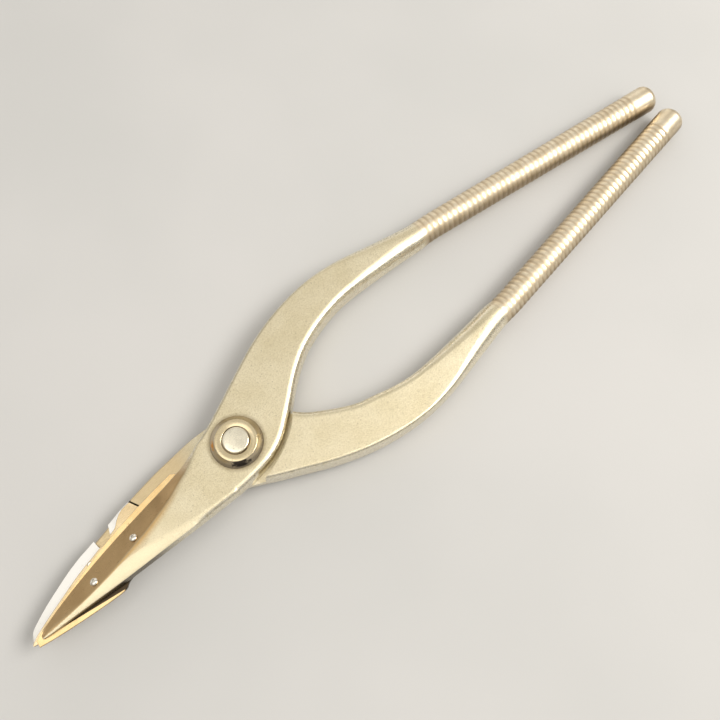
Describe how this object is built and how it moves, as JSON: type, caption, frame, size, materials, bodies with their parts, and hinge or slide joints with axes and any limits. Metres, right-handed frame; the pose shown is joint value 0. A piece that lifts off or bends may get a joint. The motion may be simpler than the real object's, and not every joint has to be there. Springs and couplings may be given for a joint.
{
  "type": "lap-jointed hand pliers",
  "caption": "Slim lap-jointed hand tool with long leaf-shaped jaws that cross flat, riveted jaw plates, a collared pivot pin and ring-grooved round grips.",
  "frame": {"origin": "on the pivot pin's axis, at its lower end, on which the tool rests", "axes": "+X points from the pivot to the jaw tips and the grips run back to -X, +Z runs along the pivot pin towards the upper arm's side, +Y completes the set and is the side of the lower arm's grip"},
  "size_m": [0.2647, 0.0568, 0.0154],
  "materials": {
    "satin_nickel": "forged steel, satin blasted and nickel plated, edges polished bright",
    "blade_steel": "hardened steel plate, fine ground, bevel near mirror",
    "polished_nickel": "polished nickel plate"
  },
  "bodies": {
    "lower_half": {"lower_arm": "satin_nickel", "lower_jaw_plate": "blade_steel", "lower_plate_rivet_front": "polished_nickel", "lower_plate_rivet_rear": "polished_nickel", "pivot_pin": "polished_nickel", "upper_pivot_collar": "polished_nickel", "lower_pivot_collar": "polished_nickel"},
    "upper_half": {"upper_arm": "satin_nickel", "upper_jaw_plate": "blade_steel", "upper_plate_rivet_front": "polished_nickel", "upper_plate_rivet_rear": "polished_nickel"}
  },
  "joints": [
    {"name": "pivot_hinge", "type": "hinge", "parent": "lower_half", "child": "upper_half", "pos_m": [0, 0, 0.0077], "axis": [0, 0, 1], "range_deg": [0, 22]}
  ]
}
